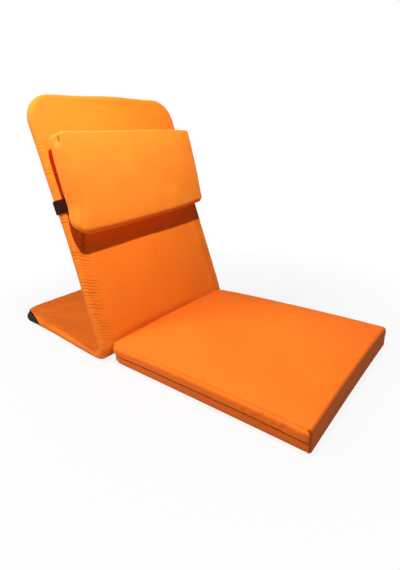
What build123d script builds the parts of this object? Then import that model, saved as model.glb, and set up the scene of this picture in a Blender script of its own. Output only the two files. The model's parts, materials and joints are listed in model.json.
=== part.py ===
"""Folding floor chair: a tube back and a tube base hinged in a V inside one cloth sleeve, a box cushion
to sit on that is sewn to the foot of the back, and a lumbar cushion held round the back by an elastic strap.

Frame: millimetres, +Z up, the sitter faces -Y, origin under the middle of the footprint.
Every piece is built where it stands in the rest pose: back reclined, seat flat on the floor.
"""

import os
from math import atan2, cos, degrees, hypot, radians, sin, sqrt

from build123d import *

os.makedirs("parts", exist_ok=True)

# ---------------------------------------------------------------- driving dimensions
# seat cushion
seat_width = 450
seat_length = 520
seat_height = 50
seat_crown = 2.5
seat_seam = 26
seat_gap = 3
seat_corner = 12
seat_edge = 7
seat_foot = 4
seat_draw = 2
seam_turn = 0.6
tape_length = 420
tape_top = 46
tape_leg = 18
tape_foot = 7
tape_rise = 3

# back and base panels
recline = 16.3
back_width = 476
back_height = 641
back_corner = 58
back_edge = 12
back_crown = 2
crease_inset = 22
crease_depth = 1.2
crease_round = 6
pad_thickness = 6
base_length = 458
base_sag = 7
sag_reach = 190
nose_radius = 26
fold_edge = 7
crease_angle = 55

# lumbar cushion and its strap
lumbar_width = 432
lumbar_height = 211
lumbar_thickness = 46
lumbar_crown = 3
lumbar_place = 420
lumbar_tilt = 5.4
lumbar_roll = 1.8
lumbar_corner = 10
lumbar_draw = 4
lumbar_edge = 7
strap_width = 31
strap_thickness = 1.4
strap_drop = 37
strap_lap = 8
strap_leave = 4.4
strap_bend = 3

# tube frames
tube_diameter = 19
side_padding = 17
tube_wall = 1.5
base_bend = 70
bar_diameter = 12
bar_wall = 1.2
bar_place = 25

# folding hinges
hub_radius = 13
plate_thickness = 3
wheel_thickness = 4
knee_width = 14
tongue_length = 84
rivet_inset = 14
rivet_diameter = 5
bolt_diameter = 8
head_diameter = 13
head_height = 2.6
nut_size = 13
nut_height = 4
ratchet_steps = 6
tooth_height = 2
tooth_start = 21.2
wheel_margin = 0.5
pawl_pin_t = 12
pawl_pin_s = 13.2
pawl_pin_diameter = 2.5
pawl_boss = 2.8
pawl_play = 1.2
pawl_drop = 9.6
plate_margin = 2.5

# sewn cloth and clearances
cloth = 1.0
fit_gap = 0.2
run_gap = 0.3
floor_gap = 0.4
strap_gap = 0.8
stack_gap = 3.4
hub_gap = 0.6
mouth_gap = 3.5
hem_side = 143
hem_rear = 41
hinge_tape = 0.8

# ---------------------------------------------------------------- places worked out from them
tube_radius = tube_diameter / 2
bore_radius = tube_radius - tube_wall
tube_x = back_width / 2 - side_padding
skin = tube_radius + fit_gap + cloth

lean_sin = sin(radians(recline))
lean_cos = cos(radians(recline))
fold_angle = 90 - recline

pivot_z = hub_radius + hub_gap + cloth + floor_gap
back_rear = 2 * skin - pivot_z + stack_gap
back_tube_t = back_rear + skin
pad_rear = back_tube_t + tube_radius + fit_gap
back_front = pad_rear + pad_thickness + fit_gap + cloth
mouth = hub_radius + mouth_gap

nose_t = back_front - nose_radius
nose_s = (nose_radius + floor_gap - pivot_z - nose_t * lean_sin) / lean_cos
nose_y = nose_s * lean_sin - nose_t * lean_cos

total_length = seat_length + seat_gap + nose_radius - nose_y + base_length
seat_back_y = seat_length - total_length / 2
pivot_y = total_length / 2 - base_length

# Panel planes: x is the chair's width and y runs away from the pivot, along the back or along the base.
back_up = Vector(0, lean_sin, lean_cos)
back_out = Vector(0, -lean_cos, lean_sin)
pivot = Vector(0, pivot_y, pivot_z)
back_plane = Plane(origin=pivot, x_dir=(1, 0, 0), z_dir=back_out)
base_plane = Plane(origin=(0, pivot_y, 0), x_dir=(1, 0, 0), z_dir=(0, 0, 1))
# Hinge planes face +X: y runs away from the pivot again, and x is down for the base, rearward for the back.
base_side = Plane(origin=pivot, x_dir=(0, 0, -1), z_dir=(1, 0, 0))
back_side = Plane(origin=pivot, x_dir=-back_out, z_dir=(1, 0, 0))
across = (0, 90, 0)


def write(part, name):
    """Label one finished piece and write it as its own file."""
    part.label = name
    export_step(part, f"parts/{name}.step")


def write_pair(right_part, name):
    """Write a piece of the +X side (the sitter's left) and its mirror image."""
    write(right_part, f"left_{name}")
    write(mirror(right_part, about=Plane.YZ), f"right_{name}")


def arc_radius(half_chord, rise):
    """Radius of the arc that rises by `rise` over half a chord."""
    return (half_chord**2 + rise**2) / (2 * rise)


# ---------------------------------------------------------------- tube frames
base_frame_plane = base_plane.offset(skin)
back_frame_plane = back_plane.offset(back_tube_t)
tube_start = mouth + fit_gap
rivet_place = tongue_length - rivet_inset
bar_line = tongue_length + bar_place


def tube_loop(plane, end, bend):
    """U of round tube: two legs from the hinge to the cross run at `end`, drilled for the hinge rivets."""
    with BuildPart() as loop:
        with BuildLine(plane) as path:
            FilletPolyline(
                (-tube_x, tube_start), (-tube_x, end), (tube_x, end), (tube_x, tube_start), radius=bend
            )
        with BuildSketch(Plane(origin=path.line @ 0, z_dir=path.line % 0)):
            Circle(tube_radius)
            Circle(bore_radius, mode=Mode.SUBTRACT)
        sweep()
        for side in (-1, 1):
            with Locations(plane.from_local_coords((side * tube_x, rivet_place, 0))):
                Cylinder(rivet_diameter / 2 + run_gap, 3 * tube_radius, rotation=across, mode=Mode.SUBTRACT)
    return loop.part


def cross_bar(plane):
    """Bar welded between the legs, its ends coped round the leg tubes."""
    with BuildPart() as bar:
        with Locations(plane.from_local_coords((0, bar_line, 0))):
            Cylinder(bar_diameter / 2, 2 * tube_x, rotation=across)
            Cylinder(bar_diameter / 2 - bar_wall, 2 * tube_x, rotation=across, mode=Mode.SUBTRACT)
        for side in (-1, 1):
            leg_axis = plane.from_local_coords((side * tube_x, bar_line, 0))
            with BuildSketch(Plane(origin=leg_axis, z_dir=plane.y_dir)):
                Circle(tube_radius)
            extrude(amount=bar_diameter, both=True, mode=Mode.SUBTRACT)
    return bar.part


write(tube_loop(base_frame_plane, base_length - skin, base_bend), "base_tube")
write(tube_loop(back_frame_plane, back_height - side_padding, back_corner - side_padding), "back_tube")
write(cross_bar(base_frame_plane), "base_cross_bar")
write(cross_bar(back_frame_plane), "back_cross_bar")

# ---------------------------------------------------------------- ratchet hinges, +X side then mirrored
wheel_half = wheel_thickness / 2
plate_far = wheel_half + plate_thickness
tongue_width = 2 * sqrt((bore_radius - fit_gap) ** 2 - plate_far**2)
tip_radius = hub_radius - wheel_margin
root_radius = tip_radius - tooth_height
tooth_pitch = fold_angle / ratchet_steps


def hinge_plate(plane, near_x, tube_line):
    """Steel plate: round hub, a knee out to the tube's centreline and a tongue riveted inside the tube."""
    with BuildPart() as plate:
        with BuildSketch(plane.offset(near_x)):
            Circle(hub_radius)
            with Locations((tube_line / 2, 0)):
                Rectangle(abs(tube_line), knee_width)
            with Locations((tube_line, 0)):
                Circle(knee_width / 2)
            with Locations((tube_line, tongue_length / 2)):
                Rectangle(tongue_width, tongue_length)
            Circle(bolt_diameter / 2 + fit_gap, mode=Mode.SUBTRACT)
            with Locations((tube_line, rivet_place)):
                Circle(rivet_diameter / 2 + run_gap, mode=Mode.SUBTRACT)
        extrude(amount=plate_thickness)
    return plate.part


def polar(radius, angle):
    """Point of the base's hinge plane at an angle measured from the front, upwards."""
    return (-radius * sin(radians(angle)), -radius * cos(radians(angle)))


def tongue_rivet(plane):
    """Flush rivet through a leg tube and the tongue inside it."""
    length = 2 * sqrt(tube_radius**2 - (rivet_diameter / 2) ** 2)
    with BuildPart() as rivet:
        with Locations(plane.from_local_coords((tube_x, rivet_place, 0))):
            Cylinder(rivet_diameter / 2, length, rotation=across)
    return rivet.part


# The back plate also has a web in front of its hub that holds the pawl's pin.
with BuildPart() as back_hinge_plate:
    add(hinge_plate(back_side, tube_x - plate_far, -back_tube_t))
    with BuildSketch(back_side.offset(tube_x - plate_far)):
        web_near = pawl_pin_t - plate_margin
        web_top = pawl_pin_s + plate_margin
        with Locations((-(web_near + back_tube_t) / 2, web_top / 2)):
            Rectangle(back_tube_t - web_near, web_top)
        Circle(hub_radius, mode=Mode.SUBTRACT)
    extrude(amount=plate_thickness)
    with BuildSketch(back_side.offset(tube_x - plate_far)):
        with Locations((-pawl_pin_t, pawl_pin_s)):
            Circle(pawl_pin_diameter / 2)
    extrude(amount=plate_thickness, mode=Mode.SUBTRACT)

write_pair(hinge_plate(base_side, tube_x + wheel_half, pivot_z - skin), "base_hinge_plate")
write_pair(back_hinge_plate.part, "back_hinge_plate")
write_pair(tongue_rivet(base_frame_plane), "base_plate_rivet")
write_pair(tongue_rivet(back_frame_plane), "back_plate_rivet")

# Ratchet wheel, fixed to the base plate: each tooth stops the back from closing and lets it rise.
with BuildPart() as ratchet_wheel:
    with BuildSketch(base_side.offset(tube_x - wheel_half + fit_gap)):
        Circle(root_radius)
        for step in range(ratchet_steps + 2):
            face_angle = tooth_start + step * tooth_pitch
            with BuildLine():
                Polyline(
                    (0, 0),
                    polar(tip_radius, face_angle),
                    polar(root_radius, face_angle + tooth_pitch),
                    close=True,
                )
            make_face()
        Circle(bolt_diameter / 2 + fit_gap, mode=Mode.SUBTRACT)
    extrude(amount=wheel_thickness - fit_gap)
write_pair(ratchet_wheel.part, "ratchet_wheel")

# Pawl that hooks under a tooth so the back can't fold, drawn lifted clear; its pin is in the back plate.
pin_reach = hypot(pawl_pin_t, pawl_pin_s)
pin_angle = recline + degrees(atan2(pawl_pin_s, pawl_pin_t))
nose_angle = tooth_start - pawl_play
with BuildPart() as pawl:
    with BuildSketch(base_side.offset(tube_x - wheel_half + fit_gap)):
        with BuildLine():
            Polyline(
                polar(root_radius + run_gap, nose_angle),
                polar(tip_radius + 3 * run_gap, nose_angle),
                polar(pin_reach - pawl_boss, pin_angle),
                polar(pin_reach + pawl_boss / sqrt(2), pin_angle - degrees(pawl_boss / sqrt(2) / pin_reach)),
                polar(tip_radius + pawl_boss, nose_angle - tooth_pitch * 2 / 3),
                polar(tip_radius - run_gap, nose_angle - tooth_pitch * 2 / 3),
                close=True,
            )
        make_face()
        with Locations(polar(pin_reach, pin_angle)):
            Circle(pawl_boss)
            Circle(pawl_pin_diameter / 2 + fit_gap / 2, mode=Mode.SUBTRACT)
    extrude(amount=wheel_thickness - 2 * fit_gap)
pawl_axis = Axis(back_side.from_local_coords((-pawl_pin_t, pawl_pin_s, 0)), (1, 0, 0))
write_pair(pawl.part.rotate(pawl_axis, -pawl_drop), "pawl")

with BuildPart() as pawl_pin:
    with BuildSketch(back_side.offset(tube_x - plate_far)):
        with Locations((-pawl_pin_t, pawl_pin_s)):
            Circle(pawl_pin_diameter / 2)
    extrude(amount=plate_far + wheel_half - fit_gap)
write_pair(pawl_pin.part, "pawl_pin")

# Pivot bolt with its head outside the base plate, and a nut inside the back plate.
with BuildPart() as pivot_bolt:
    with BuildSketch(base_side.offset(tube_x - plate_far - fit_gap - nut_height)):
        Circle(bolt_diameter / 2)
    extrude(amount=nut_height + fit_gap + 2 * plate_far)
    with BuildSketch(base_side.offset(tube_x + plate_far)):
        Circle(head_diameter / 2)
    extrude(amount=head_height)
    chamfer(pivot_bolt.faces().sort_by(Axis.X)[-1].edges(), head_height / 3)
write_pair(pivot_bolt.part, "pivot_bolt")

with BuildPart() as pivot_nut:
    with BuildSketch(base_side.offset(tube_x - plate_far - fit_gap - nut_height)):
        RegularPolygon(nut_size / 2, 6, major_radius=False)
        Circle(bolt_diameter / 2, mode=Mode.SUBTRACT)
    extrude(amount=nut_height)
write_pair(pivot_nut.part, "pivot_nut")

# ---------------------------------------------------------------- back: foam pad in its cloth sleeve
back_axis = Axis(pivot, back_out)
back_mouth = Plane(origin=back_plane.from_local_coords((0, mouth, 0)), z_dir=back_up)


def run_along_back(x, t, radius):
    """Sketch plane and circle of a round form that runs the whole way up the back."""
    with BuildPart() as run:
        with BuildSketch(Plane(origin=back_plane.from_local_coords((x, -back_height, t)), z_dir=back_up)):
            Circle(radius)
        extrude(amount=3 * back_height)
    return run.part


def back_panel(inset):
    """The padded back as one rounded slab, crowned across, creased beside both edges, shrunk by `inset`."""
    top = back_height - inset
    crown_radius = arc_radius(back_width / 2, back_crown)
    crown_t = back_front + back_crown - crown_radius
    crease_t = back_front - crease_depth + crease_round
    with BuildPart() as slab:
        with BuildSketch(back_plane.offset(back_rear + inset)):
            with Locations((0, (top - back_corner) / 2)):
                RectangleRounded(back_width - 2 * inset, top + back_corner, back_corner - inset)
        extrude(amount=back_front + back_crown - back_rear)
        add(run_along_back(0, crown_t, crown_radius - inset), mode=Mode.INTERSECT)
        faces_in_depth = slab.faces().sort_by(back_axis)
        fillet(faces_in_depth[0].edges() + faces_in_depth[-1].edges(), back_edge - inset)
        for side in (-1, 1):
            crease_x = side * (back_width / 2 - crease_inset)
            add(run_along_back(crease_x, crease_t, crease_round + inset), mode=Mode.SUBTRACT)
        split(bisect_by=back_mouth, keep=Keep.TOP)
    return slab.part


with BuildPart() as back_foam:
    add(back_panel(cloth + fit_gap))
    split(bisect_by=back_plane.offset(pad_rear), keep=Keep.TOP)
write(back_foam.part, "back_foam")

with BuildPart() as back_cover:
    add(back_panel(0))
    add(back_panel(cloth), mode=Mode.SUBTRACT)
write(back_cover.part, "back_cover")

# ---------------------------------------------------------------- base: cloth sleeve over the base frame
base_mouth = Plane(origin=(0, pivot_y + mouth, 0), z_dir=(0, 1, 0))
base_side_x = tube_x + skin
sag_radius = arc_radius(sag_reach, base_sag)
sag_place = base_length - skin - tube_radius - sag_reach - fit_gap


def base_panel(inset):
    """The base sleeve as one rounded slab; its top cloth sags in a dish between the tubes."""
    rear = base_length - inset
    corner = base_bend + skin - inset
    with BuildPart() as slab:
        with BuildSketch(base_plane.offset(inset)):
            with Locations((0, (rear - corner) / 2)):
                RectangleRounded(2 * (base_side_x - inset), rear + corner, corner)
        extrude(amount=2 * (skin - inset))
        faces_in_height = slab.faces().sort_by(Axis.Z)
        fillet(faces_in_height[0].edges() + faces_in_height[-1].edges(), skin - inset - run_gap)
        with Locations(base_plane.from_local_coords((0, sag_place, 2 * skin - base_sag + sag_radius))):
            Sphere(sag_radius + inset, mode=Mode.SUBTRACT)
        split(bisect_by=base_mouth, keep=Keep.TOP)
    return slab.part


# The rear corners of the sleeve are hemmed off across the bend, where the bare tube shows.
with BuildPart() as base_cover:
    add(base_panel(0))
    add(base_panel(cloth), mode=Mode.SUBTRACT)
    for side in (-1, 1):
        hem_start = base_plane.from_local_coords((side * base_side_x, base_length - hem_side, 0))
        split(bisect_by=Plane(origin=hem_start, z_dir=(side * hem_side, hem_rear, 0)), keep=Keep.BOTTOM)
write(base_cover.part, "base_cover")

# ---------------------------------------------------------------- fold of the sleeve round the hinges
fold_side = Plane(origin=(0, pivot_y, 0), x_dir=(0, 1, 0), z_dir=(1, 0, 0))
fold_mouth = mouth - run_gap


def side_point(s, t):
    """Side-view point, measured rearward and up, of a place on the back."""
    return Vector(s * lean_sin - t * lean_cos, pivot_z + s * lean_cos + t * lean_sin)


def fold_solid(inset):
    """Round nose under the foot of the back, and the crease cloth over the hubs inside the V."""
    nose_centre = Vector(nose_y, nose_radius + floor_gap)
    radius = nose_radius - inset
    front_top = side_point(fold_mouth, back_front - inset)
    rear_top = side_point(fold_mouth, back_rear + inset)
    hub_clear = hub_radius + hub_gap + 2 * cloth - inset
    crease_cos = cos(radians(crease_angle))
    crease_sin = sin(radians(crease_angle))
    with BuildPart() as fold:
        with BuildSketch(fold_side.offset(-base_side_x + inset)):
            with BuildLine():
                floor_run = Line((fold_mouth, floor_gap + inset), (nose_y, floor_gap + inset))
                front_foot = nose_centre + radius * Vector(-lean_cos, lean_sin)
                TangentArc(floor_run @ 1, front_foot, tangent=(-1, 0))
                Line(front_foot, front_top)
                Line(front_top, rear_top)
                over_hub = Vector(hub_clear * crease_cos, pivot_z + hub_clear * crease_sin)
                ThreePointArc(rear_top, over_hub, (fold_mouth, 2 * skin - inset))
                Line((fold_mouth, 2 * skin - inset), floor_run @ 0)
            make_face()
        extrude(amount=2 * (base_side_x - inset))
        end_rims = (
            fold.edges()
            .filter_by(Axis.X, reverse=True)
            .filter_by(Axis.Z, reverse=True)
            .filter_by(back_axis, reverse=True)
        )
        fillet([edge for edge in end_rims if not inside_v(edge.center())], fold_edge - inset)
    return fold.part


def inside_v(point):
    """True for a point above and behind the hinges, in the V between the back and the base."""
    return point.Z > pivot_z and point.Y > pivot_y


with BuildPart() as sleeve_fold:
    add(fold_solid(0))
    add(fold_solid(cloth), mode=Mode.SUBTRACT)
write(sleeve_fold.part, "sleeve_fold")


# ---------------------------------------------------------------- box cushions
def box_pad(width, length, height, crown, draw, corner, edge, foot, inset):
    """Box cushion lying at the origin: sides drawn in between the corners, top domed by the crown."""
    half_x = width / 2 - inset
    half_y = length / 2 - inset
    dome_radius = arc_radius(sqrt(width**2 + length**2) / 2, crown)
    with BuildPart() as pad:
        with BuildSketch(Plane.XY.offset(inset)):
            with BuildLine():
                ThreePointArc((-half_x, -half_y), (0, draw - half_y), (half_x, -half_y))
                ThreePointArc((half_x, -half_y), (half_x - draw, 0), (half_x, half_y))
                ThreePointArc((half_x, half_y), (0, half_y - draw), (-half_x, half_y))
                ThreePointArc((-half_x, half_y), (draw - half_x, 0), (-half_x, -half_y))
            outline = make_face()
            fillet(outline.vertices(), corner - inset)
        extrude(amount=height + crown)
        with Locations((0, 0, height + crown - dome_radius)):
            Sphere(dome_radius - inset, mode=Mode.INTERSECT)
        faces_in_height = pad.faces().sort_by(Axis.Z)
        fillet(faces_in_height[-1].edges(), edge - inset)
        fillet(faces_in_height[0].edges(), foot - inset)
    return pad.part


# ---------------------------------------------------------------- seat cushion
seat_plane = Plane(origin=(0, seat_back_y - seat_length / 2, 0))
seam_plane = seat_plane.offset(seat_seam)


def seat_pad(inset):
    return seat_plane.location * box_pad(
        seat_width, seat_length, seat_height, seat_crown, seat_draw, seat_corner, seat_edge, seat_foot, inset
    )


def seat_shell(keep):
    """The part of the seat cover above or below the side seam, its raw edge turned in at the seam."""
    with BuildPart() as shell:
        add(seat_pad(0))
        split(bisect_by=seam_plane, keep=keep)
        cut_face = shell.faces().sort_by(lambda face: abs(face.center().Z - seat_seam))[0]
        chamfer(cut_face.edges(), seam_turn)
        add(seat_pad(cloth), mode=Mode.SUBTRACT)
    return shell.part


write(seat_pad(cloth + fit_gap), "seat_foam")
write(seat_shell(Keep.TOP), "seat_top_cover")
write(seat_shell(Keep.BOTTOM), "seat_lower_cover")

# Tape sewn to the top of the seat's rear face and to the foot of the back, on which the seat swings.
tape_off = run_gap + hinge_tape / 2
seat_back_side = nose_y - nose_radius - seat_gap
with BuildPart() as seat_hinge_tape:
    with BuildSketch(fold_side.offset(-tape_length / 2)):
        with BuildLine():
            back_t = back_front + back_crown + tape_off
            back_s = (tape_top - pivot_z - back_t * lean_sin) / lean_cos
            Polyline(
                (seat_back_side + tape_off, tape_top - tape_leg),
                (seat_back_side + tape_off, tape_top - tape_rise),
                side_point(back_s, back_t),
                side_point(back_s - tape_foot, back_t),
            )
        trace(line_width=hinge_tape)
    extrude(amount=tape_length)
write(seat_hinge_tape.part, "seat_hinge_tape")

# ---------------------------------------------------------------- lumbar cushion
tilt_sin = sin(radians(lumbar_tilt))
tilt_cos = cos(radians(lumbar_tilt))
roll_sin = sin(radians(lumbar_roll))
roll_cos = cos(radians(lumbar_roll))
width_way = Vector(1, 0, 0)

lumbar_low = lumbar_height / 2 * roll_cos + lumbar_width / 2 * roll_sin
lumbar_rear_t = back_front + back_crown + run_gap + lumbar_low * tilt_sin
lumbar_out = tilt_cos * back_out - tilt_sin * back_up
lumbar_up = tilt_cos * back_up + tilt_sin * back_out
lumbar_plane = Plane(
    origin=back_plane.from_local_coords((-strap_drop * roll_sin, lumbar_place, lumbar_rear_t)),
    x_dir=roll_cos * width_way + roll_sin * lumbar_up,
    z_dir=lumbar_out,
)


def lumbar_pad(inset):
    return lumbar_plane.location * box_pad(
        lumbar_width, lumbar_height, lumbar_thickness, lumbar_crown, lumbar_draw, lumbar_corner, lumbar_edge,
        lumbar_edge, inset,
    )


with BuildPart() as lumbar_cover:
    add(lumbar_pad(0))
    add(lumbar_pad(cloth), mode=Mode.SUBTRACT)
write(lumbar_cover.part, "lumbar_cover")
write(lumbar_pad(cloth + fit_gap), "lumbar_foam")

# Elastic strap: behind the back, round its edges and forward to the ends of the cushion.
strap_off = strap_gap + strap_thickness / 2
strap_lowest = (strap_drop + strap_width / 2) / (lumbar_height / 2)
strap_side = back_width / 2 + strap_off
corner_bend = back_edge + strap_off
strap_rear = back_rear - strap_off
strap_end_x = lumbar_width / 2 - lumbar_draw * (1 - strap_lowest**2) + run_gap + strap_thickness / 2
strap_end_t = lumbar_rear_t - strap_drop * tilt_sin + lumbar_edge
strap_plane = Plane(
    origin=back_plane.from_local_coords((0, lumbar_place - strap_drop, 0)),
    x_dir=roll_cos * width_way + roll_sin * back_up,
    z_dir=roll_sin * width_way - roll_cos * back_up,
)
with BuildPart() as lumbar_strap:
    with BuildSketch(strap_plane):
        with BuildLine():
            half_path = [
                (strap_end_x, strap_end_t + strap_lap),
                (strap_end_x, strap_end_t),
                (strap_side, back_front - strap_leave),
                (strap_side, strap_rear),
            ]
            FilletPolyline(
                *half_path,
                *((-x, t) for x, t in reversed(half_path)),
                radius=[strap_bend, strap_bend, corner_bend, corner_bend, strap_bend, strap_bend],
            )
        trace(line_width=strap_thickness)
    extrude(amount=strap_width / 2, both=True)
write(lumbar_strap.part, "lumbar_strap")
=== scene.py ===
"""Folding floor chair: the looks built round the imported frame, in metres, +Z up, the sitter faces -Y."""

import json

import bmesh
import bpy
import numpy as np
from mathutils import Matrix, Vector, noise


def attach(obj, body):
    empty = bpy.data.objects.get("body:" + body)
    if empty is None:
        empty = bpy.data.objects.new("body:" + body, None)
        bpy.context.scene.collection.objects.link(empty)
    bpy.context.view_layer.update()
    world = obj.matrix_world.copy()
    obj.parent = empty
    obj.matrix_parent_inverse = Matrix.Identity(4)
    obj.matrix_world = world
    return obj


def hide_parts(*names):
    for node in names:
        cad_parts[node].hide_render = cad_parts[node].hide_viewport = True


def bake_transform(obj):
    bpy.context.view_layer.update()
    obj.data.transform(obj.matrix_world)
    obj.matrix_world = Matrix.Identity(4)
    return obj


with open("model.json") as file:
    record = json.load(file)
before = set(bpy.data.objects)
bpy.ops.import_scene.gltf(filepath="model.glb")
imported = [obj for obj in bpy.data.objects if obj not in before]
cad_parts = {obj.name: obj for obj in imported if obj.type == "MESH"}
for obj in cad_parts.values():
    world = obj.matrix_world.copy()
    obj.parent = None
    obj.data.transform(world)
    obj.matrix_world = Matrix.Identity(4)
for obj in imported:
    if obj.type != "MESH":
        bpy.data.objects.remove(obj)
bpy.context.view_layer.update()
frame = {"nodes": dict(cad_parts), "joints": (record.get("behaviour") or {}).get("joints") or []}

# ---------------------------------------------------------------- places read from the frame
joints = {joint["name"]: joint for joint in frame["joints"]}
pivot = np.array(joints["back_fold"]["pos_m"])
seat_hinge = np.array(joints["seat_fold"]["pos_m"])
back_up = np.array(joints["lumbar_slide"]["axis"])
back_up /= np.linalg.norm(back_up)
back_out = np.array([0, -back_up[2], back_up[1]])


def on_back(x, s, t):
    """Point at x across, s up the back from the pivot and t in front of the pivot line."""
    x, s, t = np.broadcast_arrays(x, s, t)
    return pivot + np.stack([x, 0 * x, 0 * x], -1) + s[..., None] * back_up + t[..., None] * back_out


def on_profile(s, t):
    """The same seen from the side: how far behind the pivot and how high above the floor."""
    return s * back_up[1:] + t * back_out[1:] + [0, pivot[2]]


# ---------------------------------------------------------------- camera and light
def look_from(place, yaw, pitch, roll):
    """Camera matrix: yaw turns from +Y towards +X, pitch looks down, roll turns the picture."""
    forward = Vector((np.cos(pitch) * np.sin(yaw), np.cos(pitch) * np.cos(yaw), -np.sin(pitch)))
    right = Vector((np.cos(yaw), -np.sin(yaw), 0))
    up = right.cross(forward)
    image_right = np.cos(roll) * right + np.sin(roll) * up
    image_up = np.cos(roll) * up - np.sin(roll) * right
    matrix = Matrix((image_right, image_up, -forward)).transposed().to_4x4()
    matrix.translation = place
    return matrix


camera = bpy.data.objects.new("camera", bpy.data.cameras.new("camera"))
bpy.context.collection.objects.link(camera)
camera.data.sensor_width = 36
camera.data.lens = 23.49
camera.data.clip_start = 0.01
camera.matrix_world = look_from(
    place=(-0.70919, -0.69293, 0.49415), yaw=0.86963, pitch=0.34881, roll=-0.05437,
)
bpy.context.scene.camera = camera


def lamp(name, place, power, radius, colour):
    """Round lamp of this many watts; its radius sets how soft its shadows are."""
    light = bpy.data.lights.new(name, "POINT")
    light.energy = power
    light.shadow_soft_size = radius
    light.color = colour
    holder = bpy.data.objects.new(name, light)
    holder.location = place
    bpy.context.collection.objects.link(holder)


lamp("ceiling_lamp", place=(-0.274, -0.325, 1.190), power=57.5, radius=0.022, colour=(1, 0.97, 0.94))
lamp("side_fill", place=(-0.92, 0.63, 1.19), power=68, radius=0.20, colour=(1, 0.92, 0.88))

world = bpy.data.worlds.new("studio")
bpy.context.scene.world = world
world.use_nodes = True
bpy.context.scene.view_settings.view_transform = "Standard"


def seen_as_background(tree):
    """1 where a camera, glossy or transmission ray looks, 0 for the light that falls on the object."""
    path = tree.nodes.new("ShaderNodeLightPath")
    seen = path.outputs["Is Camera Ray"]
    for kind in ("Is Glossy Ray", "Is Transmission Ray"):
        either = tree.nodes.new("ShaderNodeMath")
        either.operation = "MAXIMUM"
        tree.links.new(seen, either.inputs[0])
        tree.links.new(path.outputs[kind], either.inputs[1])
        seen = either.outputs[0]
    return seen


# The object is lit by a dim warm surround, and the camera sees plain white in its place.
studio = world.node_tree
studio_light = studio.nodes["Background"]
studio_light.inputs["Color"].default_value = (1, 0.76, 0.68, 1)
studio_light.inputs["Strength"].default_value = 0.062
studio_white = studio.nodes.new("ShaderNodeBackground")
studio_white.inputs["Color"].default_value = (1, 1, 1, 1)
studio_mix = studio.nodes.new("ShaderNodeMixShader")
studio.links.new(seen_as_background(studio), studio_mix.inputs[0])
studio.links.new(studio_light.outputs[0], studio_mix.inputs[1])
studio.links.new(studio_white.outputs[0], studio_mix.inputs[2])
studio.links.new(studio_mix.outputs[0], studio.nodes["World Output"].inputs["Surface"])


# ---------------------------------------------------------------- materials
class Nodes:
    """A material's node tree with short names for adding to it. Colours are given as three parts."""

    def __init__(self, name):
        self.material = bpy.data.materials.new(name)
        self.material.use_nodes = True
        self.tree = self.material.node_tree
        self.shader = self.tree.nodes["Principled BSDF"]
        self.spot = self.add("TexCoord").outputs["Object"]

    def set(self, socket, value):
        """Feeds a socket from another node's output or gives it a constant."""
        if isinstance(value, bpy.types.NodeSocket):
            self.tree.links.new(value, socket)
        elif socket.type == "RGBA":
            socket.default_value = (*value, 1)
        else:
            socket.default_value = value

    def fill(self, node, inputs):
        for key, value in inputs.items():
            self.set(node.inputs[key.replace("_", " ")], value)

    def add(self, kind, **inputs):
        node = self.tree.nodes.new("ShaderNode" + kind)
        self.fill(node, inputs)
        return node

    def surface(self, **inputs):
        """Sets what the material's own shader takes."""
        self.fill(self.shader, inputs)

    def math(self, operation, first, second=0.0, third=0.0):
        node = self.add("Math")
        node.operation = operation
        for socket, value in zip(node.inputs, (first, second, third)):
            self.set(socket, value)
        return node.outputs[0]

    def mix(self, factor, first, second):
        """Blends two colours, which are the node's inputs 6 and 7."""
        node = self.add("Mix")
        node.data_type = "RGBA"
        self.set(node.inputs["Factor"], factor)
        self.set(node.inputs[6], first)
        self.set(node.inputs[7], second)
        return node.outputs[2]

    def noise(self, coordinates, scale, detail=3.0, roughness=0.5):
        node = self.add("TexNoise", Vector=coordinates, Scale=scale, Detail=detail, Roughness=roughness)
        return node.outputs[0]

    def scaled(self, coordinates, scales):
        return self.add("Mapping", Vector=coordinates, Scale=scales).outputs[0]

    def parts(self, vector):
        return self.add("SeparateXYZ", Vector=vector).outputs

    def ramp(self, value, low, high):
        """0 at low, 1 at high, straight between."""
        return self.add("MapRange", Value=value, From_Min=low, From_Max=high).outputs["Result"]

    def carried(self, name, output):
        """What the mesh carries under this name at each point, 0 where it carries nothing."""
        node = self.add("Attribute")
        node.attribute_name = name
        return node.outputs[output]

    def bump(self, height, distance, strength=1.0, normal=None):
        node = self.add("Bump", Height=height, Distance=distance, Strength=strength)
        if normal is not None:
            self.set(node.inputs["Normal"], normal)
        return node.outputs[0]


def darker(colour, share):
    return tuple(share * part for part in colour)


# How fast the weave, the pleats and the ribs of the webbing repeat, in radians for each metre.
weave_turn = 3490.6556  # a thread every 0.9 mm
pleat_turn = 760
rib_turn = 2600


def woven(nodes):
    """Plain weave height from 0 to 1, laid on whichever of the three axis planes a face is nearest to."""
    facing = nodes.parts(nodes.add("NewGeometry").outputs["Normal"])
    turns = [nodes.math("MULTIPLY", axis, weave_turn) for axis in nodes.parts(nodes.spot)]
    waves = [nodes.math("SINE", turn) for turn in turns]
    height = None
    for first, second, normal in ((0, 1, 2), (0, 2, 1), (1, 2, 0)):
        over = nodes.math("MULTIPLY", waves[first], waves[second])
        thread = nodes.math("MULTIPLY_ADD", over, 0.5, 0.5)
        share = nodes.ramp(nodes.math("ABSOLUTE", facing[normal]), 0.55, 0.75)
        laid = nodes.math("MULTIPLY", thread, share)
        height = laid if height is None else nodes.math("ADD", height, laid)
    return height


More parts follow.
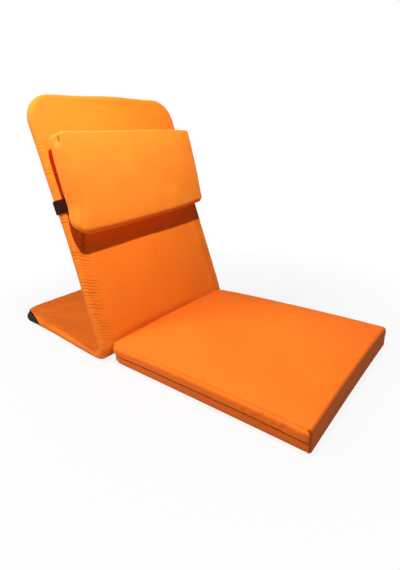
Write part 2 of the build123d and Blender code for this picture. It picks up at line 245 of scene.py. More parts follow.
def pleats(nodes):
    """1 on the short wavering lines across the gathered strips of the sleeve, 0 between them."""
    place = nodes.carried("sleeve_place", "Vector")
    waver = nodes.noise(nodes.scaled(place, (12, 34, 1)), 1.0, 2, 0.5)
    down = nodes.math("MULTIPLY_ADD", waver, 0.014, nodes.parts(place)[1])
    wave = nodes.math("SINE", nodes.math("MULTIPLY", down, pleat_turn))
    chance = nodes.noise(nodes.scaled(place, (14, 150, 1)), 1.0, 1, 0.4)
    line = nodes.math("MULTIPLY", nodes.ramp(wave, 0.45, 0.95), nodes.ramp(chance, 0.38, 0.52))
    return nodes.math("MULTIPLY", line, nodes.carried("gather", "Fac"))


def cloth_material(name, colour, dark, pale, gathered=False):
    """Plain-woven polyester: fine weave, slubs, flecks, soft colour drift and a light sheen. Seam lines,
    and places given painted shade, are darkened by a value the mesh carries; gathered strips are read from
    its "gather" value, and their pleat lines get painted shade too."""
    nodes = Nodes(name)
    weave = woven(nodes)
    drift = nodes.noise(nodes.spot, 9, 4)
    slub = nodes.noise(nodes.scaled(nodes.spot, (60, 60, 900)), 1.0, 2)
    tone = nodes.mix(nodes.ramp(drift, 0.35, 0.68), dark, pale)
    between = nodes.math("MULTIPLY", nodes.math("SUBTRACT", 1.0, weave), 0.16)
    threads = nodes.mix(between, nodes.mix(0.5, colour, tone), dark)
    fleck = nodes.ramp(nodes.noise(nodes.spot, 240, 3, 0.75), 0.35, 0.68)
    flecked = nodes.mix(nodes.math("MULTIPLY", fleck, 0.34), threads, darker(dark, 0.72))
    # Darkening from the mesh: seam lines, and painted shade in folds, along the base's rim and on pleat
    # lines.
    seam_and_painted_shade = nodes.carried("seam_and_painted_shade", "Fac")
    soft = nodes.bump(nodes.noise(nodes.spot, 34, 4, 0.6), 0.0012, 0.5)
    if gathered:
        # Pleat lines are darkened with painted shade as well as bumped.
        pleat = pleats(nodes)
        seam_and_painted_shade = nodes.math("MULTIPLY_ADD", pleat, 0.28, seam_and_painted_shade)
        soft = nodes.bump(nodes.math("SUBTRACT", 1.0, pleat), 0.0016, 1.0, soft)
    nodes.surface(
        Base_Color=nodes.mix(nodes.math("MULTIPLY", seam_and_painted_shade, 0.85), flecked, darker(dark, 0.35)),
        Roughness=nodes.math("MULTIPLY_ADD", drift, 0.12, 0.72),
        Sheen_Weight=0.12,
        Sheen_Roughness=0.35,
        Sheen_Tint=(1.0, 0.7, 0.4),
        Specular_IOR_Level=0.2,
        Normal=nodes.bump(nodes.math("MULTIPLY_ADD", slub, 0.4, weave), 0.00025, 0.6, soft),
    )
    return nodes.material


def painted_material(name, colour, rough):
    """Powder coat: fine orange-peel, with the roughness wandering a little and dull scuffs."""
    nodes = Nodes(name)
    scuff = nodes.ramp(nodes.noise(nodes.spot, 55, 6, 0.7), 0.6, 0.75)
    scuffed = tuple(2.4 * part + 0.02 for part in colour)
    nodes.surface(
        Base_Color=nodes.mix(scuff, colour, scuffed),
        Roughness=nodes.math("MULTIPLY_ADD", scuff, 0.2, rough),
        Specular_IOR_Level=0.12,
        Normal=nodes.bump(nodes.noise(nodes.spot, 1400, 2), 0.0001, 0.5),
    )
    return nodes.material


def steel_material(name):
    """Zinc-plated steel: patchy crystal sheen and fine rolling lines."""
    nodes = Nodes(name)
    patch = nodes.noise(nodes.spot, 160, 3)
    lines = nodes.noise(nodes.scaled(nodes.spot, (1500, 120, 120)), 1.0, 2)
    nodes.surface(
        Base_Color=nodes.mix(patch, (0.42, 0.43, 0.45), (0.62, 0.62, 0.6)),
        Metallic=0.9,
        Roughness=nodes.math("MULTIPLY_ADD", patch, 0.2, 0.28),
        Normal=nodes.bump(lines, 0.00006, 0.6),
    )
    return nodes.material


def foam_material(name):
    """Open-cell foam: a pitted pale cream."""
    nodes = Nodes(name)
    cells = nodes.add("TexVoronoi", Vector=nodes.spot, Scale=700).outputs["Distance"]
    nodes.surface(
        Base_Color=nodes.mix(cells, (0.62, 0.55, 0.38), (0.88, 0.84, 0.7)),
        Roughness=0.95,
        Normal=nodes.bump(cells, 0.0008, 0.8),
    )
    return nodes.material


def elastic_material(name):
    """Black elastic webbing: ribs along its length crossed by a fine weave, with a faint brown cast."""
    nodes = Nodes(name)
    wave = nodes.math("SINE", nodes.math("MULTIPLY", nodes.parts(nodes.spot)[2], rib_turn))
    ribs = nodes.math("MULTIPLY_ADD", wave, 0.5, 0.5)
    fuzz = nodes.noise(nodes.spot, 900, 3)
    nodes.surface(
        Base_Color=nodes.mix(ribs, (0.016, 0.003, 0.002), (0.034, 0.007, 0.005)),
        Roughness=nodes.math("MULTIPLY_ADD", fuzz, 0.2, 0.75),
        Specular_IOR_Level=0.06,
        Normal=nodes.bump(nodes.math("ADD", ribs, fuzz), 0.0002, 0.7),
    )
    return nodes.material


# One orange cloth in three shades: the seat deepest as painted shade, the sleeve between in the cloth's
# own colour, the lumbar cushion palest as painted light.
orange = (0.93, 0.208, 0.010)
orange_dark = (0.85, 0.175, 0.008)
orange_pale = (0.96, 0.236, 0.014)
cloth_painted_darker = cloth_material("orange_cloth", (0.86, 0.166, 0.008), (0.78, 0.140, 0.006), (0.90, 0.188, 0.011))
sleeve_cloth = cloth_material("orange_sleeve_cloth", orange, orange_dark, orange_pale, gathered=True)
lumbar_cloth_painted_lighter = cloth_material(
    "orange_lumbar_cloth_painted_lighter", (0.94, 0.252, 0.018), (0.87, 0.214, 0.014), (0.96, 0.282, 0.024),
)
tape_cloth = cloth_material("hinge_tape_cloth", orange_dark, (0.6, 0.11, 0.008), orange)
tube_paint = painted_material("black_powder_coat", (0.006, 0.004, 0.004), 0.62)
steel = steel_material("zinc_steel")
foam = foam_material("foam")
elastic = elastic_material("black_elastic")

# The last word of a node's name tells its finish; every other node is hinge steel.
finishes = {
    "tube": tube_paint,
    "bar": tube_paint,
    "foam": foam,
    "strap": elastic,
    "tape": tape_cloth,
    "cover": cloth_painted_darker,
    "fold": cloth_painted_darker,
}
for name, node in frame["nodes"].items():
    node.data.materials.clear()
    node.data.materials.append(finishes.get(name.split("_")[-1], steel))


# ---------------------------------------------------------------- closed cloth shells
def closed_shell(places, halves, leans, columns, top, rings, bottom):
    """Two facing grids joined by rings round their rim. Row j of a grid lies at places[j] and reaches
    halves[j] to each side; leans[j] is the lengthwise part of the rim's outward direction there.
    A ring is (step outward, level). Returns points (across, along, level) and quads."""
    spread = np.linspace(-1, 1, columns + 1)
    across = halves[:, None] * spread
    along = np.repeat(places[:, None], columns + 1, 1)
    index = np.arange(across.size).reshape(across.shape)
    ends = np.zeros(columns)
    sides = np.sqrt(1 - leans**2)
    loop = np.concatenate([index[0, :-1], index[:-1, -1], index[-1, :0:-1], index[:0:-1, 0]])
    out_across = np.concatenate([ends, sides[:-1], ends, -sides[:0:-1]])
    out_along = np.concatenate([ends - 1, leans[:-1], ends + 1, leans[:0:-1]])
    flat = np.stack([across.ravel(), along.ravel()], -1)
    rim = flat[loop]
    outward = np.stack([out_across, out_along], -1)
    points = [np.column_stack([flat, np.full(len(flat), top)])]
    loops = [loop]
    count = len(flat)
    for step, level in rings:
        points.append(np.column_stack([rim + outward * step, np.full(len(rim), level)]))
        loops.append(np.arange(len(rim)) + count)
        count += len(rim)
    points.append(np.column_stack([flat, np.full(len(flat), bottom)]))
    loops.append(loop + count)
    cells = np.stack([index[:-1, :-1], index[:-1, 1:], index[1:, 1:], index[1:, :-1]], -1).reshape(-1, 4)
    quads = [cells, cells[:, ::-1] + count]
    for upper, lower in zip(loops[:-1], loops[1:]):
        quads.append(np.stack([upper, lower, np.roll(lower, -1), np.roll(upper, -1)], -1))
    return np.concatenate(points), np.concatenate(quads)


def rounded_rows(start, stop, half, start_radius, stop_radius, pitch):
    """Rows of a rounded rectangle from start to stop: places, half widths and rim leans."""
    quarter = np.pi / 2
    turn = np.linspace(0, quarter, max(3, int(np.ceil(start_radius * quarter / pitch))) + 1)
    turn_back = np.linspace(quarter, 0, max(3, int(np.ceil(stop_radius * quarter / pitch))) + 1)
    middle = np.arange(start + start_radius, stop - stop_radius, pitch)[1:]
    places = np.concatenate([
        start + start_radius * (1 - np.cos(turn)),
        middle,
        stop - stop_radius * (1 - np.cos(turn_back)),
    ])
    halves = np.concatenate([
        half - start_radius * (1 - np.sin(turn)),
        np.full(len(middle), half),
        half - stop_radius * (1 - np.sin(turn_back)),
    ])
    leans = np.concatenate([-np.cos(turn), np.zeros(len(middle)), np.cos(turn_back)])
    return places, halves, leans


def new_piece(name, points, quads, material):
    mesh = bpy.data.meshes.new(name)
    mesh.from_pydata(points.tolist(), [], quads.tolist())
    shape = bmesh.new()
    shape.from_mesh(mesh)
    bmesh.ops.recalc_face_normals(shape, faces=shape.faces)
    shape.to_mesh(mesh)
    shape.free()
    mesh.shade_smooth()
    mesh.materials.append(material)
    piece = bpy.data.objects.new(name, mesh)
    bpy.context.collection.objects.link(piece)
    return piece


def get_vectors(piece, kind):
    """The mesh's points, with kind "co", or its normals at them, with kind "normal"."""
    vectors = np.empty(3 * len(piece.data.vertices))
    piece.data.vertices.foreach_get(kind, vectors)
    return vectors.reshape(-1, 3)


def set_points(piece, points):
    piece.data.vertices.foreach_set("co", points.ravel())
    piece.data.update()


def keep_value(piece, name, values):
    """Stores one number, or one vector, per point on the mesh for its material to read."""
    kind, field = ("FLOAT_VECTOR", "vector") if values.ndim == 2 else ("FLOAT", "value")
    layer = piece.data.attributes.new(name, kind, "POINT")
    layer.data.foreach_set(field, np.ascontiguousarray(values, float).ravel())


def wander(points, scale, seed):
    """Smooth noise of about -1 to 1 at each point, features about `scale` metres apart."""
    spots = points / scale + seed
    return np.array([noise.noise(Vector(spot)) for spot in spots])


def step_up(values, low, high):
    """0 below low, 1 above high, smooth between."""
    share = np.clip((values - low) / (high - low), 0, 1)
    return share * share * (3 - 2 * share)


def step_down(values, low, high):
    """1 below low, 0 above high, smooth between."""
    return step_up(-values, -high, -low)


def ridge(values, centre, width):
    """A smooth bump of height 1 at centre."""
    return np.exp(-(((values - centre) / width) ** 2))


def mid_share(values, size, power=2):
    """1 in the middle of this size, falling to 0 at both its ends."""
    return 1 - np.abs(2 * values / size) ** power


def round_edge(flat, axes, edges, radius):
    """Rounds, in place, the square corner that two of the coordinates make where they reach the edges."""
    signs = np.sign(edges)
    inner = np.array(edges) - signs * np.reshape(radius, (-1, 1))
    out = flat[:, axes] - inner
    past = np.maximum(out * signs, 0)
    scale = np.where(past.min(1) > 0, past.max(1) / np.maximum(np.hypot(*past.T), 1e-9), 1)
    flat[:, axes] = inner + out * scale[:, None]


def inside_by(across, along, half, start, stop, radius):
    """How far points lie inside a rounded rectangle's outline."""
    past_side = np.abs(across) - (half - radius)
    past_end = np.maximum(start + radius - along, along - stop + radius)
    outside = np.hypot(np.maximum(past_side, 0), np.maximum(past_end, 0))
    return radius - outside - np.minimum(np.maximum(past_side, past_end), 0)


def inflate(piece, pressure, spare, cap, bend, held):
    """Blows the cover up as cloth with a little to spare: the held points, its seams, stay where
    they are and every other point moves by `cap` at most."""
    frames = 20
    before = get_vectors(piece, "co")
    seams = piece.vertex_groups.new(name="seams")
    seams.add(np.flatnonzero(held).tolist(), 1.0, "REPLACE")
    blown = piece.modifiers.new("stuffing", "CLOTH")
    settings = blown.settings
    settings.quality = 6
    settings.mass = 0.3
    settings.use_pressure = True
    settings.uniform_pressure_force = pressure
    settings.effector_weights.gravity = 0
    settings.shrink_min = -spare
    settings.vertex_group_mass = seams.name
    settings.tension_stiffness = settings.compression_stiffness = 25
    settings.shear_stiffness = 8
    settings.bending_stiffness = bend
    settings.air_damping = 4
    blown.point_cache.frame_start = 1
    blown.point_cache.frame_end = frames
    scene = bpy.context.scene
    for step in range(1, frames + 1):
        scene.frame_set(step)
    shown = piece.evaluated_get(bpy.context.evaluated_depsgraph_get())
    after = np.empty(before.size)
    shown.data.vertices.foreach_get("co", after)
    moved = after.reshape(-1, 3) - before
    reach = np.linalg.norm(moved, axis=1, keepdims=True)
    piece.modifiers.remove(blown)
    piece.vertex_groups.remove(seams)
    scene.frame_set(1)
    set_points(piece, before + moved * np.minimum(1, cap / np.maximum(reach, 1e-9)))


def subdivide(piece):
    """Subdivides the mesh once and applies it."""
    finer = piece.modifiers.new("finer", "SUBSURF")
    finer.levels = finer.render_levels = 1
    shown = piece.evaluated_get(bpy.context.evaluated_depsgraph_get())
    mesh = bpy.data.meshes.new_from_object(shown)
    piece.modifiers.remove(finer)
    piece.data = mesh
    piece.data.shade_smooth()


# ---------------------------------------------------------------- the sleeve over back and base
floor_gap = 0.0004
back_top = 0.641  # up the back from the pivot to its top edge
top_turn = 0.066  # radius of the back's top corners
back_half = 0.238  # half widths of the back, of the base and of the fold where they meet
base_half = 0.2317
fold_half = 0.2475
base_end = 0.463  # behind the pivot
rear_turn = 0.0807  # radius of the base's rear corners
front_t = 0.0374  # the back's front and rear faces, in front of the pivot line
rear_t = 0.0098
foot = 0.0165  # how far from the pivot both panels leave the crease inside the V
base_middle = 0.0107  # halfway between the base's underside and its top
base_top = 2 * base_middle
nose = 0.038  # radius of the fold's rounded front
nose_t = front_t - nose
nose_s = (nose + floor_gap - pivot[2] - nose_t * back_out[2]) / back_up[2]
nose_y = nose_s * back_up[1] + nose_t * back_out[1]
side_round = 0.0115  # how far the rounded sides stand out
flare_run = 0.36  # the sleeve widens over this run above the fold and narrows over it behind

arc = np.linspace(0, 1, 12)
nose_start = np.arctan2(back_out[2], back_out[1])
nose_turn = nose_start + arc * (3 * np.pi / 2 - nose_start)
outer_line = np.concatenate([
    [on_profile(back_top, front_t), on_profile(nose_s, front_t)],
    np.stack([nose_y + nose * np.cos(nose_turn), nose + floor_gap + nose * np.sin(nose_turn)], -1)[1:],
    [[foot, floor_gap], [base_end, floor_gap]],
])
rear_foot = foot * back_up[1:] + rear_t * back_out[1:]
base_rise = base_top - pivot[2]
crease_start = np.arctan2(rear_foot[1], rear_foot[0])
crease_stop = np.arctan2(base_rise, foot)
crease_turn = crease_start + arc * (crease_stop - crease_start)
crease_reach = np.hypot(*rear_foot) * (1 - arc) + np.hypot(foot, base_rise) * arc
crease_reach -= 0.0022 * np.sin(np.pi * arc)
inner_line = np.concatenate([
    [on_profile(back_top, rear_t)],
    np.stack([crease_reach * np.cos(crease_turn), pivot[2] + crease_reach * np.sin(crease_turn)], -1),
    [[base_end, base_top]],
])


def lengths(line):
    """How far along the line each of its points is."""
    return np.concatenate([[0], np.cumsum(np.linalg.norm(np.diff(line, axis=0), axis=1))])


# Distance down the sleeve from the top of the back: over the fold both faces share one measure.
outer_run = lengths(outer_line)
back_run = outer_run[1]
base_run = outer_run[-2]
whole_run = outer_run[-1]
fold_run = (back_run + base_run) / 2
inner_run = np.concatenate([[0], back_run + arc * (base_run - back_run), [whole_run]])


def on_sleeve(points):
    """Places shell points (across, down the sleeve, level from -1 inside the V to 1 outside)."""
    across, down, level = points.T
    down = np.clip(down, 0, whole_run)
    outer = np.stack([np.interp(down, outer_run, outer_line[:, k]) for k in (0, 1)], -1)
    inner = np.stack([np.interp(down, inner_run, inner_line[:, k]) for k in (0, 1)], -1)
    middle = (outer + inner) / 2 + level[:, None] * (outer - inner) / 2
    return np.column_stack([across, middle[:, 0] + pivot[1], middle[:, 1]])


rows = rounded_rows(
    side_round, whole_run - side_round, back_half - side_round,
    start_radius=top_turn - side_round, stop_radius=rear_turn - side_round, pitch=0.0042,
)
angles = np.radians(np.linspace(90, -90, 11)[1:-1])
sleeve_rings = [(side_round * np.cos(angle), np.sin(angle)) for angle in angles]
laid, quads = closed_shell(*rows, columns=104, top=1.0, rings=sleeve_rings, bottom=-1.0)
across, down, level = laid.T
half_here = back_half + (fold_half - back_half) * step_up(down, fold_run - flare_run, fold_run - 0.03)
half_here += (base_half - fold_half) * step_up(down, fold_run, fold_run + flare_run)
across *= half_here / back_half
corner_turn = np.where(down < whole_run / 2, top_turn, rear_turn)
inside = inside_by(across, down, half_here, 0, whole_run, corner_turn)
sleeve = new_piece("sleeve", on_sleeve(laid), quads, sleeve_cloth)
points = get_vectors(sleeve, "co")
normals = get_vectors(sleeve, "normal")

up_back = back_top - down
zero = np.zeros(len(down))
outer_face = np.clip(level, 0, 1)
inner_face = np.clip(-level, 0, 1)
on_front = outer_face * step_down(down, back_run - 0.02, back_run + 0.01)
on_rear = inner_face * step_down(down, back_run - 0.04, back_run)
on_base_top = inner_face * step_up(down, base_run, base_run + 0.05)

# Front of the back: pad crowned between the creases, narrow strips of gathered cloth beside it.
crease_share = step_down(up_back, 0.42, 0.58)
lift = 0.002 * (1 - (across / back_half) ** 2) * on_front
crease_here = on_front * crease_share * (1 - 0.5 * step_up(across, 0, 0.1))
lift += 0.0026 * step_up(inside, 0.018, 0.046) * crease_here
lift -= 0.0020 * ridge(inside, 0.021, 0.0065) * crease_here
strip = step_down(inside, 0.022, 0.046) * np.clip(level + 0.6, 0, 1)
strip *= step_down(down, back_run - 0.02, back_run + 0.012)
bunch = step_up(wander(np.column_stack([zero, up_back, zero]), 0.05, 3.1), -0.35, 0.2)
gathered = strip * (0.25 + 0.75 * bunch) * crease_share
lift += 0.0006 * wander(np.column_stack([across * 0.5, up_back * 1.6, zero]), 0.018, 7.7) * gathered
lift += 0.0007 * wander(points, 0.07, 1.0) * on_front * step_up(inside, 0.02, 0.06)
top_edge = step_down(down, 0.004, 0.03) * step_down(np.abs(across), 0.12, 0.19)
lift += (0.0016 + 0.0014 * np.sin(across * 26 + 1.2)) * top_edge

# Rear of the back and top of the base: slack cloth that sags between the tubes, less over the cross bar.
slack = step_up(inside, 0.016, 0.075)
lift -= 0.0032 * slack * on_rear
lift += 0.0012 * wander(points * [3, 1, 1], 0.08, 5.0) * on_rear
over_bar = ridge(down - base_run, 0.0925, 0.030)
held_up = 1 - 0.65 * over_bar
lift -= 0.0058 * slack * held_up * on_base_top
diagonal = across * 0.75 + down * 0.66
fold_line = wander(np.column_stack([diagonal, (down - across) * 0.22, zero]), 0.028, 2.0)
rear_slack = 0.5 + 0.9 * step_up(down, whole_run - 0.24, whole_run - 0.05)
lift += 0.0048 * fold_line * rear_slack * held_up * step_up(inside, 0.014, 0.05) * on_base_top

# A short fold where the crease meets the near lower corner of the lumbar cushion, sunk into the cloth and
# darkened with painted shade.
corner_fold = ridge(across + 0.2035 + 0.33 * (0.302 - up_back), 0, 0.0030) * outer_face
corner_fold *= step_up(up_back, 0.264, 0.276) * step_down(up_back, 0.300, 0.312)
lift -= 0.0022 * corner_fold

# Cloth gathered into the crease inside the V, next to its two ends.
gather = ridge(down, fold_run, 0.03) * inner_face * step_down(inside, 0.006, 0.03)
lift += 0.0007 * gather * np.sin(across * 900 + down * 260)
points = points + normals * lift[:, None]
points[:, 2] = np.maximum(points[:, 2], 0.0003)
skew = step_down(down, 0.02, 0.12)
points += (0.0045 * across / back_half * skew)[:, None] * back_up
set_points(sleeve, points)
keep_value(sleeve, "sleeve_place", np.column_stack([across, down + 0.45 * np.abs(across), zero]))
keep_value(sleeve, "gather", np.clip(gathered + 0.5 * gather, 0, 1))
# A band round the rim of the base is darkened with painted shade.
painted_shade_rim = step_up(down, base_run - 0.02, base_run + 0.03) * step_down(inside, 0.003, 0.017)
keep_value(sleeve, "seam_and_painted_shade", corner_fold + 0.42 * painted_shade_rim)

# The sleeve stops at a slanting hem short of each rear corner, where the bent tube is bare. From the
# side edge the hem runs this far rearward and this far inward.
hem_rearward = 0.143
hem_inward = 0.041


def hem_outward(side):
    return Vector((side * hem_rearward, hem_inward, 0)).normalized()


trimmed = bmesh.new()
trimmed.from_mesh(sleeve.data)
for side in (-1, 1):
    hem_start = Vector((side * base_half, pivot[1] + base_end - hem_rearward, 0))
    bmesh.ops.bisect_plane(
        trimmed, geom=trimmed.verts[:] + trimmed.edges[:] + trimmed.faces[:],
        plane_co=hem_start, plane_no=hem_outward(side), clear_outer=True,
    )
hem = [edge for edge in trimmed.edges if edge.is_boundary]
trimmed.normal_update()
# Its cut edge is turned in by the cloth's thickness and then runs on inside the sleeve.
for depth, inward in ((0.0012, 0.0), (0.0, 0.006)):
    turned = bmesh.ops.extrude_edge_only(trimmed, edges=hem)["geom"]
    for corner in turned:
        if isinstance(corner, bmesh.types.BMVert):
            hem_in = -hem_outward(1 if corner.co.x > 0 else -1)
            towards = Vector((0, 0, base_middle - corner.co.z)) + 0.3 * hem_in * base_middle
            corner.co += towards.normalized() * depth + hem_in * inward
    hem = [part for part in turned if isinstance(part, bmesh.types.BMEdge)]
bmesh.ops.recalc_face_normals(trimmed, faces=trimmed.faces)
trimmed.to_mesh(sleeve.data)
trimmed.free()
sleeve.data.shade_smooth()
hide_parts("back_cover", "base_cover", "sleeve_fold", "back_foam")
split = back_up - [0, 1, 0]
split /= np.linalg.norm(split)
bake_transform(sleeve)


# ---------------------------------------------------------------- box cushions
def placed(flat, matrix):
    """A cushion's own coordinates (across, along, up) turned into places in the scene."""
    return flat @ matrix[:3, :3].T + matrix[:3, 3]


def own_points(piece, matrix):
    return (get_vectors(piece, "co") - matrix[:3, 3]) @ matrix[:3, :3]


def box_cushion(name, matrix, size, corner, edge, foot, wall_levels, pitch, material):
    """Closed box cushion, its base plane at the matrix; returns the piece and its own coordinates.
    corner is the radius of its upright edges, edge of those round its top and foot round its base."""
    width, length, height = size
    end = length / 2 - edge
    rows = rounded_rows(-end, end, width / 2 - edge, corner - edge, corner - edge, pitch)
    upper = np.radians(np.linspace(90, 0, 5)[1:])
    lower = np.radians(np.linspace(0, 90, 5)[:-1])
    rings = [(edge * np.cos(angle), height - edge + edge * np.sin(angle)) for angle in upper]
    rings += [(edge, level) for level in wall_levels]
    rings += [(edge - foot + foot * np.cos(angle), foot - foot * np.sin(angle)) for angle in lower]
    flat, quads = closed_shell(*rows, int(round((width - 2 * edge) / pitch)), height, rings, 0.0)
    return new_piece(name, placed(flat, matrix), quads, material), flat


def past_sides(flat, width, length):
    """How far points lie past the cushion's four sides, negative inside them."""
    return np.maximum(np.abs(flat[:, 0]) - width / 2, np.abs(flat[:, 1]) - length / 2)


seat_width, seat_length, seat_height = 0.465, 0.525, 0.051
seat_side = seat_width / 2
seat_end = seat_length / 2
seat_reach = 0.2585  # from the hinge forward to the middle of the seat
seat_seam = 0.0250  # how high the seam half way up the long sides is
seat_matrix = np.eye(4)
seat_matrix[:3, 3] = (0, seat_hinge[1] - seat_reach, floor_gap)
seat, flat = box_cushion(
    "seat_cushion", seat_matrix, (seat_width, seat_length, seat_height),
    corner=0.0085, edge=0.006, foot=0.004, pitch=0.0062, material=cloth_painted_darker,
    wall_levels=(
        0.040, 0.036, 0.032, 0.0285, 0.0266, 0.0252, 0.0240, 0.0230, 0.0215, 0.0195, 0.016, 0.012, 0.008,
    ),
)
seat_rim = past_sides(flat, seat_width, seat_length) > -0.0065
inflate(seat, pressure=1.0, spare=0.0012, cap=0.003, bend=4.0, held=seat_rim)
subdivide(seat)
flat = own_points(seat, seat_matrix)
for edge_x in (-seat_side, seat_side):
    round_edge(flat, (0, 2), (edge_x, seat_height + 0.001), 0.014)
    round_edge(flat, (0, 1), (edge_x, seat_end), 0.025)
from_rear = seat_end - flat[:, 1]
from_front = seat_end + flat[:, 1]
from_end = np.minimum(from_rear, from_front)

# Long sides: a seam with the top cloth rippled above it, and the lower cloth tucked in below.
on_side = step_up(np.abs(flat[:, 0]), seat_side - 0.014, seat_side - 0.006)
on_side *= step_up(from_end, 0.0008, 0.0060)
seam_here = seat_seam + 0.0008 * wander(flat * [0, 1, 0], 0.09, 2.2) + 0.014 * ridge(from_rear, 0, 0.016)
above = flat[:, 2] - seam_here
side_seam = on_side * ridge(above, 0, 0.0020)
tuck = np.where(above < 0, 0.0022 - 0.16 * above, -0.0014 * np.exp(-above / 0.009)) + 0.0036 * side_seam
ripple = wander(flat * [0, 1, 0.4], 0.013, 6.0) * ridge(above, 0.012, 0.011)
ripple *= step_down(from_front, 0.05, 0.30)
flat[:, 0] -= np.sign(flat[:, 0]) * on_side * (tuck + 0.0019 * ripple)

# Plain ends with a piped seam at each corner.
on_end = step_down(from_end, 0.0030, 0.0075)
corner_seam = on_end * ridge(np.abs(flat[:, 0]), seat_side - 0.0065, 0.0019)
piping = on_end * ridge(np.abs(flat[:, 0]), seat_side - 0.0022, 0.0024)
flat[:, 1] -= np.sign(flat[:, 1]) * (0.0036 * corner_seam - 0.0016 * piping)

# The sides are drawn in along their middles and the top is crowned.
drawn_in = 0.0030 * mid_share(flat[:, 1], seat_length) * step_up(np.abs(flat[:, 0]), 0.1, seat_side)
flat[:, 0] *= 1 - drawn_in
drawn_in = 0.0060 * mid_share(flat[:, 0], seat_width) * step_up(np.abs(flat[:, 1]), 0.1, seat_end)
flat[:, 1] *= 1 - drawn_in
middle_x = np.maximum(mid_share(flat[:, 0], seat_width, 2.5), 0)
middle_y = np.maximum(mid_share(flat[:, 1], seat_length, 2.5), 0)
swell = 0.0045 * np.clip(middle_x + middle_y, 0, 1.6)
swell += 0.0004 * wander(flat * [1, 1, 0], 0.10, 4.0)
flat[:, 2] = np.maximum(flat[:, 2], 0) * (1 + swell / seat_height)
set_points(seat, placed(flat, seat_matrix))
# The seams are darkened: their own dark stitch line, with painted shade in their grooves.
keep_value(seat, "seam_and_painted_shade", np.clip(side_seam + 0.9 * corner_seam, 0, 1))
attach(seat, "seat")
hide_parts("seat_top_cover", "seat_lower_cover", "seat_foam")

# The lumbar cushion leans out from the back by its tilt and hangs askew by its roll.
tilt, roll = np.radians(5.4), np.radians(1.8)
lumbar_s = 0.420  # how far up the back its middle is
lumbar_width, lumbar_height, lumbar_thick = 0.432, 0.211, 0.046
lumbar_side = lumbar_width / 2
lumbar_end = lumbar_height / 2
lumbar_low = lumbar_end * np.cos(roll) + lumbar_side * np.sin(roll)
lumbar_rear = front_t + 0.0023 + lumbar_low * np.sin(tilt)
lumbar_out = np.cos(tilt) * back_out - np.sin(tilt) * back_up
lumbar_up = np.cos(tilt) * back_up + np.sin(tilt) * back_out
lumbar_x = np.cos(roll) * np.array([1, 0, 0]) + np.sin(roll) * lumbar_up
lumbar_matrix = np.eye(4)
lumbar_matrix[:3, 0] = lumbar_x
lumbar_matrix[:3, 1] = np.cross(lumbar_out, lumbar_x)
lumbar_matrix[:3, 2] = lumbar_out
lumbar_matrix[:3, 3] = on_back(-0.0012, lumbar_s, lumbar_rear)
lumbar, flat = box_cushion(
    "lumbar_cushion", lumbar_matrix, (lumbar_width, lumbar_height, lumbar_thick),
    corner=0.008, edge=0.0055, foot=0.0055, pitch=0.0055, material=lumbar_cloth_painted_lighter,
    wall_levels=(0.035, 0.030, 0.025, 0.020, 0.015, 0.010),
)
on_face_edge = (flat[:, 2] > lumbar_thick - 0.004) | (flat[:, 2] < 0.004)
lumbar_rim = (past_sides(flat, lumbar_width, lumbar_height) > -0.0057) & on_face_edge
inflate(lumbar, pressure=1.6, spare=0.0003, cap=0.0040, bend=20.0, held=lumbar_rim)
subdivide(lumbar)
flat = own_points(lumbar, lumbar_matrix)
normals = get_vectors(lumbar, "normal") @ lumbar_matrix[:3, :3]

# Puffed ends, the near one most, and a dimple where the stuffing stops short of three corners.
lift = 0.0010 * wander(flat, 0.05, 9.0)
lift += 0.0035 * mid_share(flat[:, 1], lumbar_height) * np.maximum(normals[:, 0], 0)
for dimple_x, dimple_y, dimple_z, depth in (
    (-lumbar_side, 0.092, 0.031, 0.0075),
    (lumbar_side, 0.092, 0.031, 0.004),
    (lumbar_side, -0.095, 0.034, 0.003),
):
    from_dimple = (flat - [dimple_x, dimple_y, dimple_z]) * [0.8, 0.9, 1.1]
    lift -= depth * ridge(np.linalg.norm(from_dimple, axis=1), 0, 0.0085)
near_face = np.maximum(-normals[:, 0], 0)
upright = mid_share(flat[:, 1], lumbar_height, 4)
lift += near_face * (0.003 + 0.0075 * upright * ridge(flat[:, 2], 0.012, 0.026))
flat = flat + normals * lift[:, None]

# The lower front edge and the near end are rounded off, and the long sides bow out.
round_edge(flat, (1, 2), (-lumbar_end, lumbar_thick + 0.001), 0.013)
near_half = np.clip(-2 * flat[:, 0] / lumbar_width, 0, 1) ** 1.6
flat[:, 1] += near_half * np.where(flat[:, 1] > 0, 0.011, 0.009) * flat[:, 1] / lumbar_end
near_turn = 0.018 + 0.036 * np.clip(1 - flat[:, 2] / lumbar_thick, 0, 1)
round_edge(flat, (0, 1), (-lumbar_side - 0.004, -lumbar_end - 0.009), near_turn)
taper = 0.014 + 0.010 * step_down(flat[:, 1], -0.10, 0.05)
round_edge(flat, (0, 2), (-lumbar_side - 0.005, lumbar_thick + 0.004), taper)
flat[:, 0] -= 0.014 * near_half**2 * step_down(flat[:, 1], -0.108, -0.035)
bow = 0.007 * step_up(flat[:, 1], 0.04, 0.1) - 0.009 * step_down(flat[:, 1], -0.1, -0.04)
flat[:, 1] += mid_share(flat[:, 0], lumbar_width) * bow
round_edge(flat, (0, 1), (lumbar_side + 0.001, -lumbar_end), 0.013)
round_edge(flat, (0, 2), (lumbar_side + 0.002, lumbar_thick + 0.001), 0.011)
set_points(lumbar, placed(flat, lumbar_matrix))
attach(lumbar, "lumbar")
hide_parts("lumbar_cover", "lumbar_foam")


